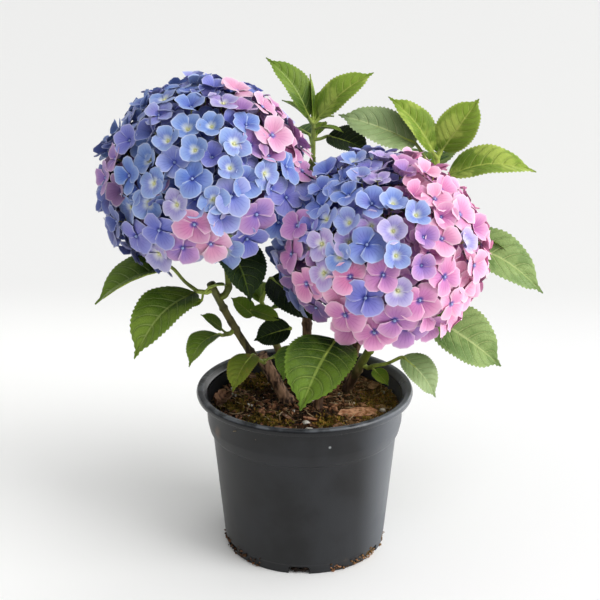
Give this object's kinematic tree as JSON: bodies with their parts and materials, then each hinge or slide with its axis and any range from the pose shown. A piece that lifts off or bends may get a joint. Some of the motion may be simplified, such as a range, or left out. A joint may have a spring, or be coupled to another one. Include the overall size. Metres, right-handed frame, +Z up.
{
  "type": "potted hydrangea shrub",
  "caption": "Mophead hydrangea shrub with large round blooms of blue and pink florets and toothed green leaves on woody canes, growing in a plain black nursery pot.",
  "frame": {"origin": "middle of the pot's flat underside, on the surface that it stands on", "axes": "+Z up; -Y towards the side seen as the front, with the larger blue bloom at -X and the pink one at +X"},
  "size_m": [0.4187, 0.3094, 0.4457],
  "materials": {
    "pot_plastic": "charcoal-black moulded plastic, satin, slightly dusty",
    "potting_mix": "damp dark peat and bark crumbs with moss",
    "cane_bark": "rough brown bark",
    "green_stem": "smooth green stem",
    "leaf": "satin green leaf with paler veins",
    "petal_blue": "soft matte petal, periwinkle blue",
    "petal_pink": "soft matte petal, pink to lavender"
  },
  "bodies": {
    "root": {"pot": "pot_plastic", "soil": "potting_mix", "cane_left": "cane_bark", "cane_old": "cane_bark", "cane_right": "cane_bark", "cane_front": "cane_bark", "cane_middle": "cane_bark", "cane_back_left": "cane_bark", "cane_back_right": "cane_bark", "shoot_left": "green_stem", "bloom_left": "petal_blue", "bloom_right": "petal_pink", "foliage_left": "leaf", "foliage_left_front": "leaf", "foliage_left_low": "leaf", "foliage_foot": "leaf", "foliage_middle": "leaf", "foliage_front": "leaf", "foliage_right_low": "leaf", "foliage_right": "leaf", "foliage_top_left": "leaf", "foliage_top_right": "leaf", "foliage_back": "leaf", "foliage_back_right": "leaf"}
  },
  "joints": []
}
